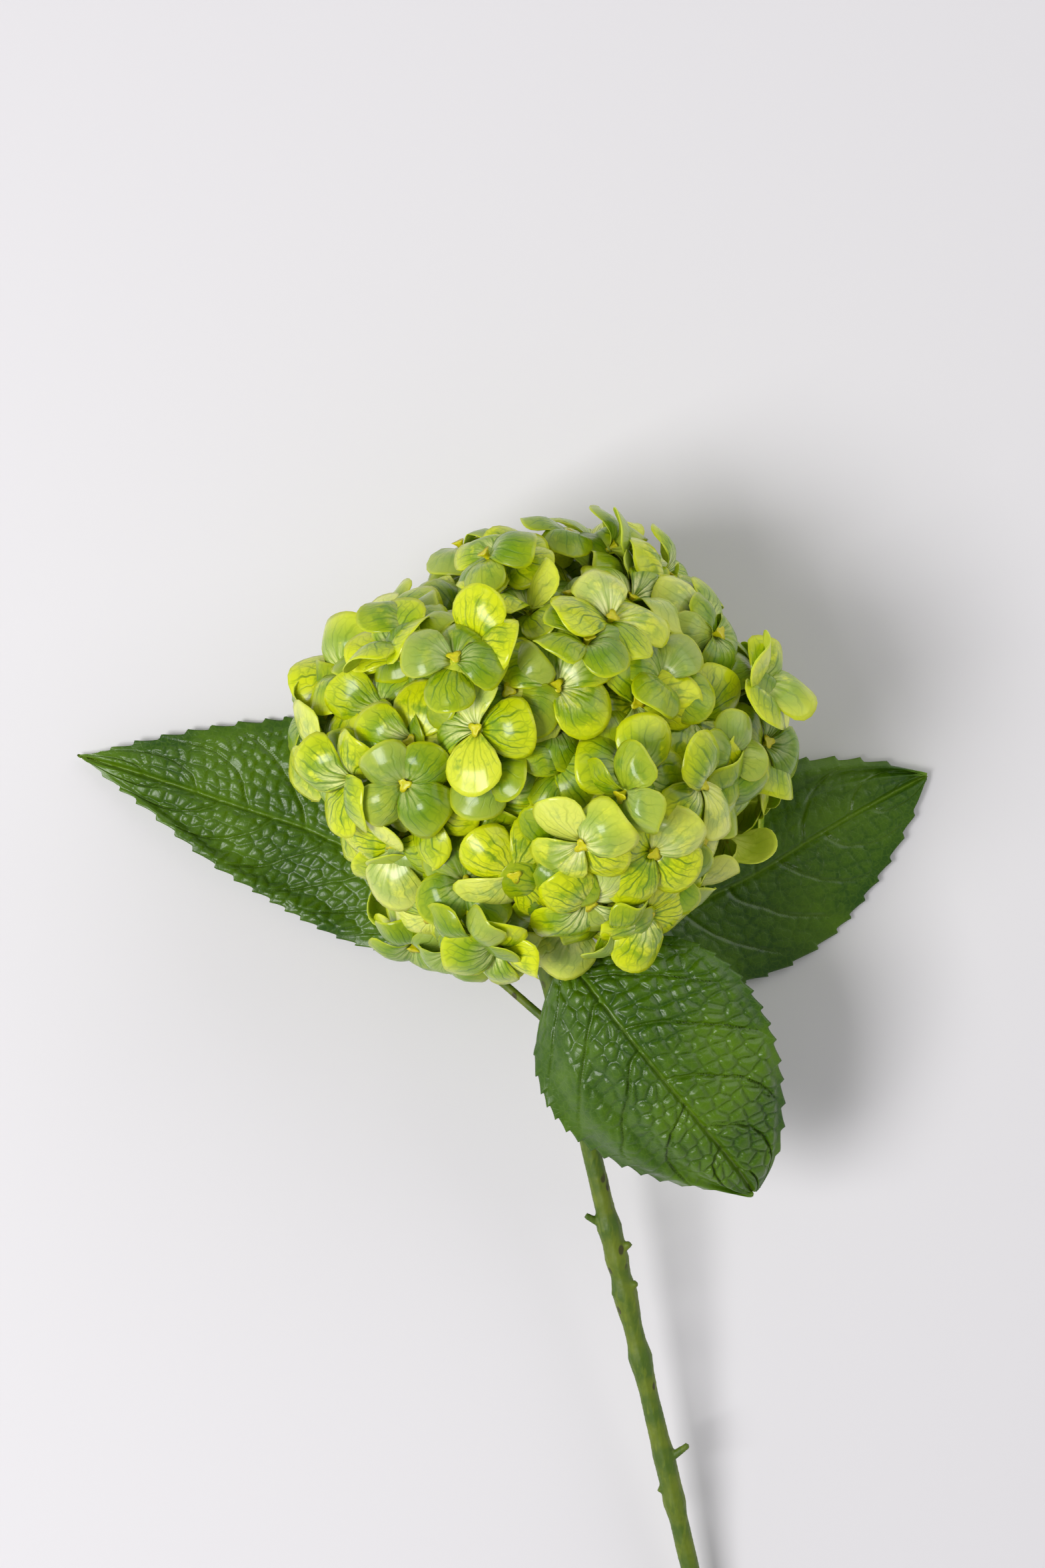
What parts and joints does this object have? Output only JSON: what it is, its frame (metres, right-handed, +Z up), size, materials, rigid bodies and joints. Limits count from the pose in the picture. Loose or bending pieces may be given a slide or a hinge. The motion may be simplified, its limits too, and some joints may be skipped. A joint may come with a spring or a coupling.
{
  "type": "cut hydrangea",
  "caption": "Cut mophead hydrangea lying on its side: a round head of four-sepalled florets, toothed leaves and a long knobbly stem.",
  "frame": {"origin": "on the surface the plant lies on, under the middle of its bounding box", "axes": "+Z up from the surface, +Y along the stem's general direction towards the flower head, +X to the right seen from above"},
  "size_m": [0.3188, 0.448, 0.1564],
  "materials": {
    "sepals": "satin lime green with darker veins",
    "stalks": "matte yellow green",
    "stem": "matte olive green with brown specks",
    "leaves": "glossy deep green"
  },
  "bodies": {
    "root": {"stem": "stem", "side_stalk": "stem", "leaf_left": "leaves", "leaf_right": "leaves", "leaf_front": "leaves", "flower_ray_1": "stalks", "flower_ray_2": "stalks", "flower_ray_3": "stalks", "flower_ray_4": "stalks", "flower_ray_5": "stalks", "flower_ray_6": "stalks", "flower_ray_7": "stalks", "floret_cyme_01": "sepals", "floret_cyme_02": "sepals", "floret_cyme_03": "sepals", "floret_cyme_04": "sepals", "floret_cyme_05": "sepals", "floret_cyme_06": "sepals", "floret_cyme_07": "sepals", "floret_cyme_08": "sepals", "floret_cyme_09": "sepals", "floret_cyme_10": "sepals", "floret_cyme_11": "sepals", "floret_cyme_12": "sepals", "floret_cyme_13": "sepals", "floret_cyme_14": "sepals", "floret_cyme_15": "sepals", "floret_cyme_16": "sepals", "floret_cyme_17": "sepals", "floret_cyme_18": "sepals", "floret_cyme_19": "sepals", "floret_cyme_20": "sepals", "floret_cyme_21": "sepals", "floret_cyme_22": "sepals", "floret_cyme_23": "sepals", "floret_cyme_24": "sepals", "floret_cyme_25": "sepals", "floret_cyme_26": "sepals", "floret_cyme_27": "sepals", "floret_cyme_28": "sepals", "floret_cyme_29": "sepals", "floret_cyme_30": "sepals"}
  },
  "joints": []
}
